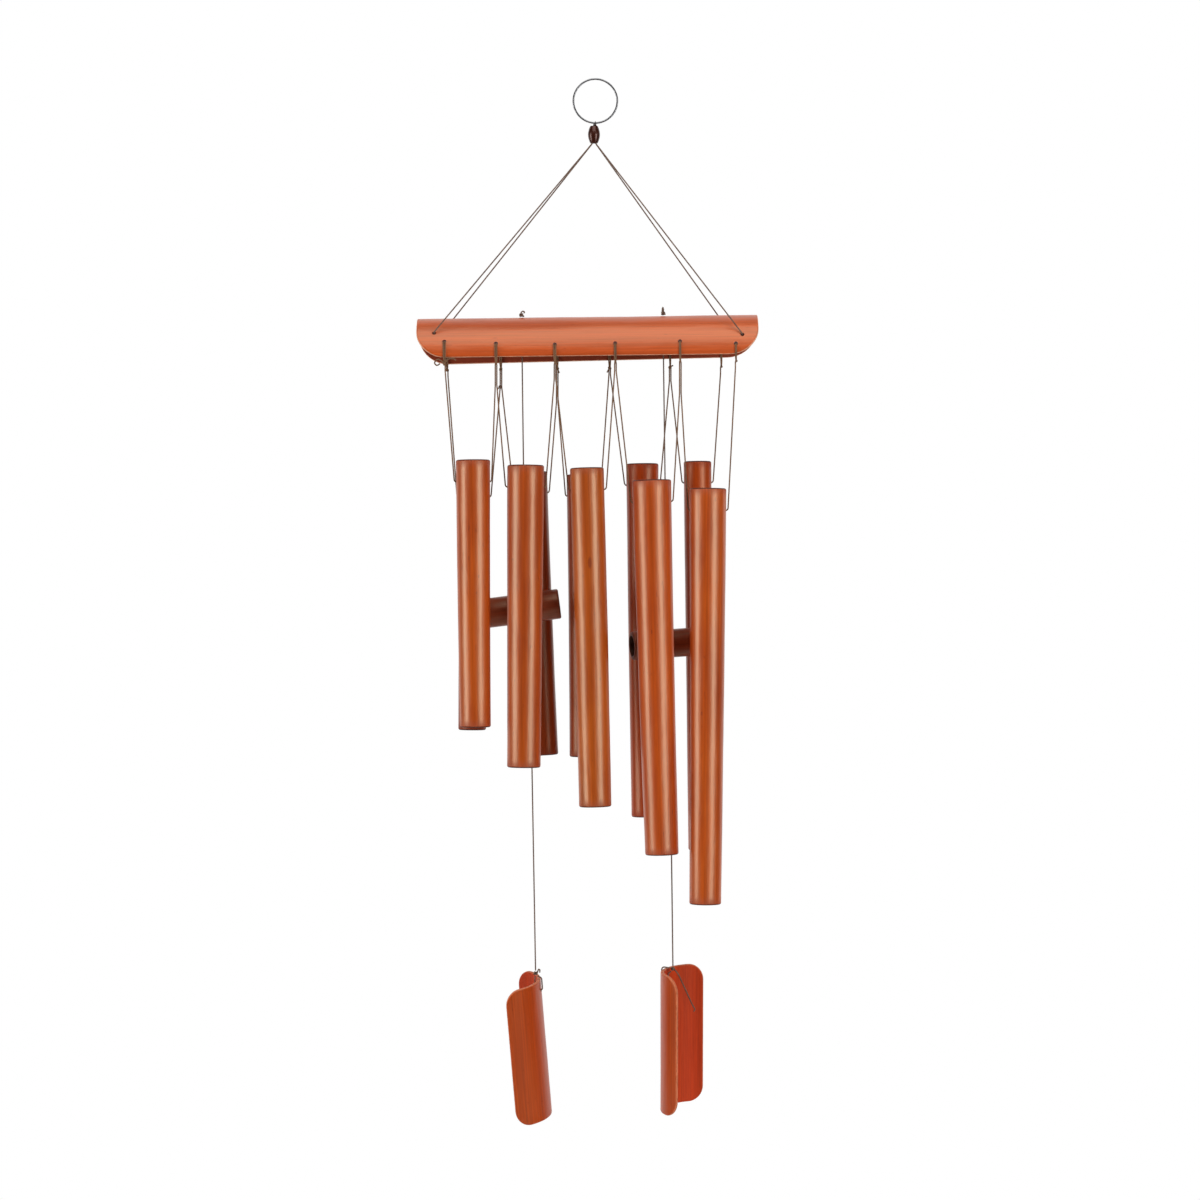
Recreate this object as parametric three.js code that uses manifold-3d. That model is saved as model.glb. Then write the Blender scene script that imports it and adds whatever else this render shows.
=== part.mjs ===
// A hanging bamboo wind chime: a chrome ring, a wooden bead, a half-round bamboo top bar, two rows of five
// bamboo tubes, and two cords between the rows that each carry a striker and a wind sail.
// Millimetres. +Z is up, +X runs along the top bar, and the viewer stands on the -Y side.
// The origin is where the ring rests on its hook.

import * as THREE from 'three';
import { mergeVertices } from 'three/addons/utils/BufferGeometryUtils.js';
import Module from 'manifold-3d';

const wasm = await Module();
wasm.setup();

const DEGREE = Math.PI / 180;

// ---------------------------------------------------------------- driving dimensions

const GAP = 0.3; // left between pieces that touch
const CORD_RADIUS = 0.55;
const CORD_BEND = 2.2; // centre-line radius of the cord's tightest bends
const CORD_HOLE_RADIUS = 1.3; // in the tubes, the strikers and the sails
const BAR_HOLE_RADIUS = 1.5;
const STANDOFF = 1.25; // from a wall's face to the middle of a cord that turns into its hole

const RING = { innerRadius: 15.75, wireRadius: 0.7 };

const BEAD = {
  centreX: -1,
  top: -34.6,
  height: 12.7,
  endRadius: 3.2,
  middleRadius: 4.45,
  boreRadius: 2.4,
};

// A half-round bamboo shell lying level, round side up. z is its spine's height at mid length.
const BAR = {
  centreX: -6,
  z: -177.8,
  length: 254.6,
  radius: 30,
  wall: 3.2,
  halfArc: 92 * DEGREE,
  corner: 21.5,
  tilt: 0.7 * DEGREE,
};

// The four cords that carry the bar leave the bead together and end in the bar's four end holes. Each hole's
// angle is measured round the bar from its spine.
const HANGERS = [
  { name: 'hanger_cord_front_left', x: -120, side: -1, angle: 54.3 * DEGREE },
  { name: 'hanger_cord_front_right', x: 109, side: -1, angle: 63 * DEGREE },
  { name: 'hanger_cord_back_left', x: -118.6, side: 1, angle: 54.3 * DEGREE },
  { name: 'hanger_cord_back_right', x: 105.5, side: 1, angle: 63 * DEGREE },
];
const HANGER_SPREAD = { x: 1.4, y: 0.65 }; // each hanger's distance from the bead's axis
const HANGER_KNOT_RADIUS = 2;
const HANGER_STANDOFF = 1.1; // from the bar's face to where a hanger turns into its hole

// Each tie is a loop of cord through a hole near the bar's lower edge, knotted just below that edge.
const TIE_KNOT_DROP = 6.4; // from the bar's centre line down to the knot's middle
const TIE_KNOT_RADIUS = 1.4;
const STRAND_SPACING = 1.6; // between the two tube cords that leave one tie

// side is the row's place, -1 in front of the bar and 1 behind it. ties gives each tie's x, its hole's angle
// from the bar's spine and the height where its two strands part. tubes gives each tube's top and bottom
// middles (x, z) and end diameters.
const ROWS = [
  {
    name: 'front',
    side: -1,
    ties: [
      { x: -112.3, angle: 68.5 * DEGREE, part: -220 },
      { x: -74, angle: 72.7 * DEGREE, part: -230.6 },
      { x: -30.3, angle: 75.1 * DEGREE, part: -226.2 },
      { x: 14.5, angle: 74.5 * DEGREE, part: -220.3 },
      { x: 62.6, angle: 72.7 * DEGREE, part: -236.6 },
      { x: 104, angle: 76.9 * DEGREE, part: -218 },
    ],
    tubes: [
      { top: [-90.8, -286.1], bottom: [-89, -484.3], diameters: [25.3, 22.7] },
      { top: [-51.6, -290], bottom: [-52.9, -514.1], diameters: [27.4, 24.9] },
      { top: [-6.2, -292], bottom: [0.1, -543.2], diameters: [25.4, 24.2] },
      { top: [41.6, -301], bottom: [49.2, -578.8], diameters: [28.9, 24.9] },
      { top: [83.7, -307.2], bottom: [81.6, -615.5], diameters: [27.2, 23.4] },
    ],
  },
  {
    name: 'back',
    side: 1,
    ties: [
      { x: -112.9, angle: 72 * DEGREE, part: -220 },
      { x: -72.1, angle: 72 * DEGREE, part: -228.4 },
      { x: -29.4, angle: 74 * DEGREE, part: -239.8 },
      { x: 10.4, angle: 73 * DEGREE, part: -219 },
      { x: 56.3, angle: 74 * DEGREE, part: -223.8 },
      { x: 95.1, angle: 72 * DEGREE, part: -218 },
    ],
    tubes: [
      { top: [-92, -295.4], bottom: [-93.4, -488.6], diameters: [23.5, 21] },
      { top: [-49.2, -292.8], bottom: [-39.4, -507.6], diameters: [24.5, 22] },
      { top: [-9.6, -294.8], bottom: [-8.3, -508.9], diameters: [24, 22] },
      { top: [35.5, -286.5], bottom: [38.2, -554.5], diameters: [24.5, 21.7] },
      { top: [77.4, -284.7], bottom: [80.3, -579.6], diameters: [21.1, 19.7] },
    ],
  },
];
const TUBE_WALL = 2.8; // at the tube's lower, thinner end
const TUBE_HOLE_DROP = 16.5; // from a tube's top to the cross hole that its cord runs through

// Each striker is a short level tube threaded on a cord that hangs through the bar's spine. bore is the
// middle of its cross hole, offset is how far that hole lies right of its mid length, tilt lifts its right
// end, and turn swings its left end towards the viewer. Under it hang a knot and the sail's cord.
// A sail's face is the way its round side looks, and lean tips it over about X and Y. In its own frame,
// whose origin is the knot and whose X points out of the round side, rim is where the middle of its wall
// meets its upper edge, and outer and inner are the corners of the cord from the knot down to the hole,
// all as (x, z). tail runs from the knot in the chime's own axes.
const STRINGS = [
  {
    name: 'left',
    barX: -55.3,
    striker: { bore: [-51.1, -396], offset: 3.5, diameter: 22.2, tilt: 7.5 * DEGREE, turn: 0 },
    sail: {
      knot: [-44.8, -669.9],
      face: -8.9 * DEGREE,
      lean: [10.9 * DEGREE, -4.5 * DEGREE],
      rim: [1.6, -5.2],
      outer: [[1.4, -2.15], [4.25, -3.7]],
      inner: [[-0.5, -2.5], [-1.05, -4.6]],
      tail: [[1.5, -0.3, 1.2], [2.2, -0.5, 2.9], [3.2, -0.6, 2.4], [3, -0.5, 0.5]],
    },
  },
  {
    name: 'right',
    barX: 50.7,
    striker: { bore: [54.5, -422.6], offset: 0, diameter: 21.3, tilt: 3.7 * DEGREE, turn: 13 * DEGREE },
    sail: {
      knot: [58.2, -666.6],
      face: 157.8 * DEGREE,
      lean: [6.5 * DEGREE, 0],
      rim: [6.35, -0.5],
      outer: [[2.5, 0.5], [9, 1]],
      inner: [[1.7, -1.9], [3.7, -4]],
      tail: [
        [1.6, -0.6, -0.9],
        [4.3, -1.4, -4.6],
        [6.8, -2, -9.9],
        [9.6, -2.2, -15.9],
        [11.8, -2.2, -20.7],
        [14.3, -1.8, -26.4],
        [16.3, -1.4, -29.9],
        [15.5, -1, -31.9],
      ],
    },
  },
];
const TOP_KNOT_RADIUS = 1.8;
const STRIKER_LENGTH = 56;
const STRIKER_WALL = 3;
const STRIKER_KNOT_RADIUS = 1.7;
const SAIL = { radius: 30, wall: 2.8, length: 106, halfArc: 73.4 * DEGREE, corner: 12 };
const SAIL_HOLE_DROP = 8.4; // from the rim down to the hole
const SAIL_KNOT_RADIUS = 1.7;

// How finely round shapes are cut.
const CORD_SIDES = 8;
const HOLE_SIDES = 8;
const TUBE_SIDES = 16;
const SHELL_STEPS = 16;
const CORNER_STEPS = 5;
const ARC_STEP = 30 * DEGREE; // of a cord's bend, per ring

// ---------------------------------------------------------------- materials

function finish(color, roughness, metalness = 0) {
  return new THREE.MeshStandardMaterial({ color, roughness, metalness });
}

const materials = {
  chrome: finish(0xc9ccd0, 0.15, 1),
  bead: finish(0x3c1710, 0.25),
  cord: finish(0x7a6659, 0.85),
  bar: finish(0xb2552f, 0.45),
  frontTube: finish(0xa5481c, 0.35),
  backTube: finish(0x7c2a16, 0.4),
  striker: finish(0x56241a, 0.45),
  sail: finish(0xa9401f, 0.42),
};

// ---------------------------------------------------------------- helpers

const point = (x, y, z) => new THREE.Vector3(x, y, z);

// A closed geometry as a solid that can be cut or joined.
function toSolid(geometry) {
  const bare = geometry.clone();
  bare.deleteAttribute('normal');
  bare.deleteAttribute('uv');
  const merged = mergeVertices(bare, 1e-4);
  const whole = [];
  for (let i = 0; i < merged.index.count; i += 3) {
    const corners = [0, 1, 2].map((k) => merged.index.getX(i + k));
    if (new Set(corners).size === 3) whole.push(...corners);
  }
  const vertProperties = merged.attributes.position.array;
  const triVerts = Uint32Array.from(whole);
  return new wasm.Manifold(new wasm.Mesh({ numProp: 3, vertProperties, triVerts }));
}

function toGeometry(solid) {
  const mesh = solid.getMesh();
  const geometry = new THREE.BufferGeometry();
  geometry.setAttribute('position', new THREE.BufferAttribute(mesh.vertProperties, 3));
  geometry.setIndex(new THREE.BufferAttribute(mesh.triVerts, 1));
  geometry.computeVertexNormals();
  return geometry;
}

function cut(geometry, cutters) {
  return toGeometry(cutters.reduce((solid, cutter) => solid.subtract(toSolid(cutter)), toSolid(geometry)));
}

function join(geometries) {
  return toGeometry(geometries.map(toSolid).reduce((whole, solid) => whole.add(solid)));
}

function part(name, geometry, material) {
  const mesh = new THREE.Mesh(geometry, material);
  mesh.name = name;
  return mesh;
}

// A curve that an extrusion follows ring by ring, with a ring at each of its points.
class RouteCurve extends THREE.Curve {
  constructor(points) {
    super();
    this.points = points;
  }

  getSpacedPoints() {
    return this.points;
  }

  getTangentAt(u, target = new THREE.Vector3()) {
    const i = Math.round(u * (this.points.length - 1));
    const before = this.points[Math.max(i - 1, 0)];
    const here = this.points[i];
    const after = this.points[Math.min(i + 1, this.points.length - 1)];
    const arriving = here.clone().sub(before).normalize();
    const leaving = after.clone().sub(here).normalize();
    return target.copy(arriving).add(leaving).normalize();
  }
}

// The line through the given corners with each bend rounded to an arc.
function roundedRoute(corners, bend = CORD_BEND) {
  const route = [corners[0]];
  for (let i = 1; i < corners.length - 1; i += 1) {
    const corner = corners[i];
    const back = corners[i - 1].clone().sub(corner).normalize();
    const ahead = corners[i + 1].clone().sub(corner).normalize();
    const turn = Math.PI - back.angleTo(ahead);
    const middle = back.clone().add(ahead).normalize();
    const centre = corner.clone().addScaledVector(middle, bend / Math.cos(turn / 2));
    const reach = bend * Math.tan(turn / 2);
    const first = corner.clone().addScaledVector(back, reach).sub(centre);
    const last = corner.clone().addScaledVector(ahead, reach).sub(centre);
    const steps = Math.ceil(turn / ARC_STEP);
    for (let k = 0; k <= steps; k += 1) {
      const along = (turn * k) / steps;
      const spoke = first.clone().multiplyScalar(Math.sin(turn - along) / Math.sin(turn));
      spoke.addScaledVector(last, Math.sin(along) / Math.sin(turn));
      route.push(centre.clone().add(spoke));
    }
  }
  route.push(corners[corners.length - 1]);
  return route;
}

function cordAlong(route, radius = CORD_RADIUS) {
  const section = new THREE.Shape();
  for (let i = 0; i < CORD_SIDES; i += 1) {
    const angle = (2 * Math.PI * i) / CORD_SIDES;
    section[i ? 'lineTo' : 'moveTo'](radius * Math.cos(angle), radius * Math.sin(angle));
  }
  const extrudePath = new RouteCurve(route);
  return new THREE.ExtrudeGeometry(section, { steps: route.length - 1, extrudePath });
}

function knotAt(centre, radius) {
  return new THREE.SphereGeometry(radius, 8, 6).rotateX(Math.PI / 2).translate(centre.x, centre.y, centre.z);
}

// A pin that cuts a hole: it lies along direction, centred on centre.
function holeCutter(centre, direction, length, radius = CORD_HOLE_RADIUS) {
  const pin = new THREE.CylinderGeometry(radius, radius, length, HOLE_SIDES);
  const turn = new THREE.Quaternion().setFromUnitVectors(point(0, 1, 0), direction.clone().normalize());
  return pin.applyQuaternion(turn).translate(centre.x, centre.y, centre.z);
}

// A shape turned round the Z axis from a closed outline of (radius, z) pairs.
function turned(outline, sides) {
  const closed = [...outline, outline[0]].map(([r, z]) => new THREE.Vector2(r, z));
  return new THREE.LatheGeometry(closed, sides).rotateX(Math.PI / 2);
}

// A lengthwise half of a bamboo stem with rounded corners. It lies along X with its spine on the X axis
// and its round side up, and its centre line is radius below the spine.
function halfShell({ radius, wall, length, halfArc, corner }) {
  const section = new THREE.Shape();
  section.absarc(0, 0, radius, Math.PI / 2 - halfArc, Math.PI / 2 + halfArc, false);
  section.absarc(0, 0, radius - wall, Math.PI / 2 + halfArc, Math.PI / 2 - halfArc, true);
  section.closePath();
  const shell = new THREE.ExtrudeGeometry(section, {
    depth: length,
    bevelEnabled: false,
    curveSegments: SHELL_STEPS,
  });
  // the section is drawn in (y, z) and swept along X
  shell.rotateY(Math.PI / 2).rotateX(Math.PI / 2).translate(-length / 2, 0, -radius);

  // seen from the side, a corner that is round on the unrolled shell follows the shell's curve
  const edge = radius * halfArc;
  const corners = [];
  for (let k = 0; k <= CORNER_STEPS; k += 1) {
    const angle = (Math.PI / 2) * (k / CORNER_STEPS);
    const along = length / 2 - corner + corner * Math.cos(angle);
    const around = (edge - corner + corner * Math.sin(angle)) / radius;
    corners.push([along, radius * Math.cos(around) - radius]);
  }
  const ends = length / 2;
  const mirrored = corners.map(([x, z]) => [-x, z]).reverse();
  const outline = [[-ends, 1], ...[...mirrored].reverse(), ...[...corners].reverse(), [ends, 1]];
  const sideView = new THREE.Shape(outline.map(([x, z]) => new THREE.Vector2(x, z)));
  const blank = new THREE.ExtrudeGeometry(sideView, { depth: 2 * radius + 2, bevelEnabled: false });
  blank.rotateX(Math.PI / 2).translate(0, radius + 1, 0);
  return toGeometry(toSolid(shell).intersect(toSolid(blank)));
}

// ---------------------------------------------------------------- places on the top bar

// The bar's own frame has its origin on the spine at mid length. distance is from the bar's centre line
// and angle is from its spine, towards the row on the given side.
function onBar(x, side, angle, distance) {
  return point(x - BAR.centreX, side * distance * Math.sin(angle), distance * Math.cos(angle) - BAR.radius);
}

const barFrame = new THREE.Matrix4()
  .makeRotationY(-BAR.tilt)
  .setPosition(BAR.centreX, 0, BAR.z);

const toWorld = (place) => place.clone().applyMatrix4(barFrame);

const rowDistance = BAR.radius + CORD_RADIUS + GAP; // from the bar's mid plane to each row of tubes
const tieKnotHeight = -BAR.radius - TIE_KNOT_DROP;

function tieKnot(tie, side) {
  return point(tie.x - BAR.centreX, side * rowDistance, tieKnotHeight);
}

// ---------------------------------------------------------------- sub-parts

function makeRing() {
  const centreLine = RING.innerRadius + RING.wireRadius;
  const wire = new THREE.TorusGeometry(centreLine, RING.wireRadius, 8, 40);
  wire.rotateX(Math.PI / 2).translate(0, 0, -RING.innerRadius);
  return part('hanging_ring', wire, materials.chrome);
}

// The cord's turn round the ring's lowest point.
function makeRingLoop() {
  const wireHeight = -2 * RING.innerRadius - RING.wireRadius;
  const loop = new THREE.TorusGeometry(RING.wireRadius + GAP + CORD_RADIUS, CORD_RADIUS, 8, 12);
  loop.rotateY(Math.PI / 2).translate(0, 0, wireHeight);
  return part('ring_loop', loop, materials.cord);
}

function makeBead() {
  const { centreX, top, height, endRadius, middleRadius, boreRadius } = BEAD;
  const outline = [[boreRadius, top - height]];
  const steps = 6;
  for (let k = 0; k <= steps; k += 1) {
    const share = k / steps;
    const bulge = Math.sin(Math.PI * share) ** 0.8;
    outline.push([endRadius + (middleRadius - endRadius) * bulge, top - height * (1 - share)]);
  }
  outline.push([boreRadius, top]);
  return part('bead', turned(outline, TUBE_SIDES).translate(centreX, 0, 0), materials.bead);
}

// From inside the bead, down to the bar, in through its hole and to a knot under the shell.
function makeHanger({ name, x, side, angle }) {
  const beadX = BEAD.centreX + Math.sign(x) * HANGER_SPREAD.x;
  const beadY = side * HANGER_SPREAD.y;
  const beadBottom = BEAD.top - BEAD.height;
  const overHole = toWorld(onBar(x, side, angle, BAR.radius + HANGER_STANDOFF));
  const knot = toWorld(onBar(x, side, angle, BAR.radius - BAR.wall - HANGER_KNOT_RADIUS - GAP));
  const corners = [
    point(beadX, beadY, BEAD.top - 1),
    point(beadX, beadY, beadBottom - 0.5),
    overHole,
    knot,
  ];
  const cord = cordAlong(roundedRoute(corners));
  return part(name, join([cord, knotAt(knot, HANGER_KNOT_RADIUS)]), materials.cord);
}

function makeBar() {
  const hole = (x, side, angle) => {
    const middle = onBar(x, side, angle, BAR.radius - BAR.wall / 2);
    const outward = point(0, side * Math.sin(angle), Math.cos(angle));
    return holeCutter(middle, outward, 3 * BAR.wall, BAR_HOLE_RADIUS);
  };
  const cutters = [
    ...HANGERS.map(({ x, side, angle }) => hole(x, side, angle)),
    ...ROWS.flatMap(({ side, ties }) => ties.map(({ x, angle }) => hole(x, side, angle))),
    ...STRINGS.map(({ barX }) => hole(barX, 1, 0)),
  ];
  return part('top_bar', cut(halfShell(BAR), cutters), materials.bar);
}

// Out of the knot, up the shell's face, in through the hole and back down the inside to the knot.
function makeTie(name, tie, side) {
  const outside = BAR.radius + CORD_RADIUS + GAP;
  const inside = BAR.radius - BAR.wall - CORD_RADIUS - GAP;
  const holeRim = 1.2 / BAR.radius; // where the cord lies in the hole, below its middle, as an angle
  const at = (angle, distance) => onBar(tie.x, side, angle, distance);
  const knot = tieKnot(tie, side);
  const underEdge = point(knot.x, side * inside, -BAR.radius - 2.4);
  const corners = [
    knot,
    at(90 * DEGREE, outside),
    at(tie.angle + 6 * DEGREE, outside),
    at(tie.angle + holeRim, outside + 0.2),
    at(tie.angle + 0.02, BAR.radius),
    at(tie.angle + 0.02, BAR.radius - BAR.wall),
    at(tie.angle + holeRim, inside - 0.2),
    at(tie.angle + 7 * DEGREE, inside - 0.1),
    at(88 * DEGREE, inside - 0.1),
    underEdge,
    knot,
  ];
  return part(name, join([cordAlong(corners), knotAt(knot, TIE_KNOT_RADIUS)]), materials.cord);
}

// A tube hangs from the middle of its cross hole. Its own frame has that point as origin, with local X
// along the hole and local Z up the tube.
function tubePlace({ top, bottom }, side) {
  const lean = Math.atan2(bottom[0] - top[0], top[1] - bottom[1]);
  const length = Math.hypot(bottom[0] - top[0], top[1] - bottom[1]);
  const x = top[0] + TUBE_HOLE_DROP * Math.sin(lean);
  const z = top[1] - TUBE_HOLE_DROP * Math.cos(lean);
  const frame = new THREE.Matrix4().makeRotationY(-lean).setPosition(x, side * rowDistance, z);
  return { length, frame };
}

// A tube's outer radius at its cross hole.
function radiusAtHole({ diameters }, length) {
  return THREE.MathUtils.lerp(diameters[0], diameters[1], TUBE_HOLE_DROP / length) / 2;
}

function makeTube(name, tube, side) {
  const { length, frame } = tubePlace(tube, side);
  const [topRadius, bottomRadius] = tube.diameters.map((d) => d / 2);
  const bore = bottomRadius - TUBE_WALL;
  const top = TUBE_HOLE_DROP;
  const bottom = top - length;
  const outline = [[bore, bottom], [bottomRadius, bottom], [topRadius, top], [bore, top]];
  const blank = turned(outline, TUBE_SIDES);
  const geometry = cut(blank, [holeCutter(point(0, 0, 0), point(1, 0, 0), 3 * topRadius)]);
  geometry.applyMatrix4(frame);
  return part(name, geometry, side < 0 ? materials.frontTube : materials.backTube);
}

// One cord carries each tube: from the tie on its left, through the tube, to the tie on its right.
function makeTubeCord(name, tube, side, leftTie, rightTie) {
  const { length, frame } = tubePlace(tube, side);
  const reach = radiusAtHole(tube, length) + STANDOFF;
  const strand = (tie, offset) => {
    const knot = toWorld(tieKnot(tie, side));
    const start = knot.clone().setX(knot.x + offset).setZ(knot.z - TIE_KNOT_RADIUS - GAP);
    return [start, start.clone().setZ(tie.part)];
  };
  const corners = [
    ...strand(leftTie, STRAND_SPACING / 2),
    point(-reach, 0, 0).applyMatrix4(frame),
    point(reach, 0, 0).applyMatrix4(frame),
    ...strand(rightTie, -STRAND_SPACING / 2).reverse(),
  ];
  return part(name, cordAlong(roundedRoute(corners)), materials.cord);
}

function makeStrikerAndCords({ name, barX, striker, sail }) {
  const spine = toWorld(point(barX - BAR.centreX, 0, 0));
  const topKnot = spine.clone().setZ(spine.z + TOP_KNOT_RADIUS + GAP);

  // the striker's own frame: its cross hole's middle is the origin, local X is its length, local Z is up
  const bore = point(striker.bore[0], 0, striker.bore[1]);
  const frame = new THREE.Matrix4()
    .makeRotationY(-striker.tilt)
    .premultiply(new THREE.Matrix4().makeRotationZ(striker.turn))
    .setPosition(bore);
  const radius = striker.diameter / 2;
  const tubeOutline = [
    [radius - STRIKER_WALL, -STRIKER_LENGTH / 2],
    [radius, -STRIKER_LENGTH / 2],
    [radius, STRIKER_LENGTH / 2],
    [radius - STRIKER_WALL, STRIKER_LENGTH / 2],
  ];
  const blank = turned(tubeOutline, TUBE_SIDES).rotateY(Math.PI / 2).translate(-striker.offset, 0, 0);
  const body = cut(blank, [holeCutter(point(0, 0, 0), point(0, 0, 1), 3 * radius)]).applyMatrix4(frame);

  const under = (distance) => point(0, 0, -distance).applyMatrix4(frame);
  const upperCord = cordAlong([spine, under(-radius - 1), under(radius)]);
  const strikerKnot = under(radius + STRIKER_KNOT_RADIUS + GAP);

  const sailKnot = point(sail.knot[0], 0, sail.knot[1]);
  const down = sailKnot.clone().sub(strikerKnot).normalize();
  const lowerCord = cordAlong([
    strikerKnot.clone().addScaledVector(down, STRIKER_KNOT_RADIUS + GAP),
    sailKnot.clone().addScaledVector(down, -SAIL_KNOT_RADIUS - GAP),
  ]);
  return [
    part(`${name}_top_knot`, knotAt(topKnot, TOP_KNOT_RADIUS), materials.cord),
    part(`${name}_striker_cord`, upperCord, materials.cord),
    part(`${name}_striker`, body, materials.striker),
    part(`${name}_striker_knot`, knotAt(strikerKnot, STRIKER_KNOT_RADIUS), materials.cord),
    part(`${name}_sail_cord`, lowerCord, materials.cord),
  ];
}

// A sail hangs from its knot by a loop of cord, over the rim and back in through the hole in its spine.
function makeSail({ name, sail }) {
  const knot = point(sail.knot[0], 0, sail.knot[1]);
  const frame = new THREE.Matrix4()
    .makeRotationFromEuler(new THREE.Euler(sail.lean[0], sail.lean[1], 0))
    .multiply(new THREE.Matrix4().makeRotationZ(sail.face))
    .setPosition(knot);
  const [rimX, rimHeight] = sail.rim;
  const holeHeight = rimHeight - SAIL_HOLE_DROP;
  const halfWall = SAIL.wall / 2;

  // stood on end with its spine towards +X
  const shell = halfShell(SAIL).rotateY(Math.PI / 2);
  shell.translate(rimX + halfWall, 0, rimHeight - SAIL.length / 2);
  const holed = cut(shell, [holeCutter(point(rimX, 0, holeHeight), point(1, 0, 0), 3 * SAIL.wall)]);

  const leg = (corners, side) => [
    ...corners.map(([x, z]) => point(x, 0, z)),
    point(rimX + side * (halfWall + STANDOFF), 0, holeHeight),
  ];
  const loop = cordAlong(roundedRoute([...leg(sail.outer, 1), ...leg(sail.inner, -1).reverse()]));

  const tail = new THREE.CatmullRomCurve3([[0, 0, 0], ...sail.tail].map((place) => point(...place)));
  const tailCord = cordAlong(tail.getPoints(3 * sail.tail.length));
  const sailKnot = join([knotAt(point(0, 0, 0), SAIL_KNOT_RADIUS), tailCord]);
  return [
    part(`${name}_sail_knot`, sailKnot.translate(knot.x, knot.y, knot.z), materials.cord),
    part(`${name}_sail_loop`, loop.applyMatrix4(frame), materials.cord),
    part(`${name}_sail`, holed.applyMatrix4(frame), materials.sail),
  ];
}

// ---------------------------------------------------------------- the chime

const chime = new THREE.Group();
chime.add(makeRing(), makeRingLoop(), makeBead(), ...HANGERS.map(makeHanger));

const bar = new THREE.Group();
bar.position.set(BAR.centreX, 0, BAR.z);
bar.rotation.y = -BAR.tilt;
bar.add(makeBar());
chime.add(bar);

for (const { name, side, ties, tubes } of ROWS) {
  ties.forEach((tie, i) => bar.add(makeTie(`${name}_tie_${i + 1}`, tie, side)));
  tubes.forEach((tube, i) => {
    chime.add(makeTubeCord(`${name}_tube_cord_${i + 1}`, tube, side, ties[i], ties[i + 1]));
    chime.add(makeTube(`${name}_tube_${i + 1}`, tube, side));
  });
}

for (const string of STRINGS) chime.add(...makeStrikerAndCords(string), ...makeSail(string));

export default chime;
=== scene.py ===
"""A hanging bamboo wind chime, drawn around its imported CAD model.

The frame has +Z up, +X along the top bar, the viewer on the -Y side and its origin where the ring hangs.
Shapes are worked out in millimetres and stored in metres.
"""

from math import atan2, ceil, copysign, cos, exp, hypot, pi, sin, tan
from types import SimpleNamespace as Sizes

import bpy
from mathutils import Matrix, Vector, noise


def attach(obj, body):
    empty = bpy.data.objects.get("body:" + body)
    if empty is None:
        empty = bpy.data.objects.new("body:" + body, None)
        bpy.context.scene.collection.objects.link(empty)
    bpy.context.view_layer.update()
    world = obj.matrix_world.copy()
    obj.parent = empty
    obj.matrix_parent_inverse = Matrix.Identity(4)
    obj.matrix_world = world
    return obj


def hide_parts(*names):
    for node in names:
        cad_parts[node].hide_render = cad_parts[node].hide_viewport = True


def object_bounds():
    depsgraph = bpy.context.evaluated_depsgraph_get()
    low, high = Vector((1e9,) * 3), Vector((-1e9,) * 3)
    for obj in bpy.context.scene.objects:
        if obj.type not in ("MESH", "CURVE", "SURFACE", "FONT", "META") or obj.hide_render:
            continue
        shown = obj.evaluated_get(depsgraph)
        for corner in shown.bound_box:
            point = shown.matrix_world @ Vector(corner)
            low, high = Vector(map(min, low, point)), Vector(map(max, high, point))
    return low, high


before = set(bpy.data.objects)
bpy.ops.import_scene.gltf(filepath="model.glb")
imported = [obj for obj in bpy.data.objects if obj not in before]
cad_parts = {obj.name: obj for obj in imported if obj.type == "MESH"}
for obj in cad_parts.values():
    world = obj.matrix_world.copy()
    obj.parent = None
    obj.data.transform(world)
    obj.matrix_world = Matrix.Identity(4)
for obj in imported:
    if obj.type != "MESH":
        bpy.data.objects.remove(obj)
cad_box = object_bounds()

MM = 0.001
DEGREE = pi / 180

# -------- sizes that the CAD model was made from

GAP = 0.3
CORD_RADIUS = 0.55
CORD_BEND = 2.2
CORD_HOLE_RADIUS = 1.3
BAR_HOLE_RADIUS = 1.5
STANDOFF = 1.25
RING = Sizes(inner=15.75, wire=0.7)
# end and middle are the bead's radii as the photo shows them. The CAD bead has 3.2 and 4.45.
BEAD = Sizes(x=-1, top=-34.6, height=12.7, end=2.85, middle=4.5, bore=2.4)
BAR = Sizes(x=-6, z=-177.8, length=254.6, radius=30, wall=3.2, half_arc=92 * DEGREE, corner=21.5,
            tilt=0.7 * DEGREE)
HANGERS = [
    ("front_left", -120, -1, 54.3 * DEGREE),
    ("front_right", 109, -1, 63 * DEGREE),
    ("back_left", -118.6, 1, 54.3 * DEGREE),
    ("back_right", 105.5, 1, 63 * DEGREE),
]
HANGER_SPREAD = (1.4, 0.65)
HANGER_KNOT_RADIUS = 2
HANGER_STANDOFF = 1.1
TIE_KNOT_DROP = 6.4
TIE_KNOT_RADIUS = 1.4
STRAND_START = 0.5  # below the middle of a tie's knot
TUBE_WALL = 2.8
TUBE_HOLE_DROP = 16.5

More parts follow.
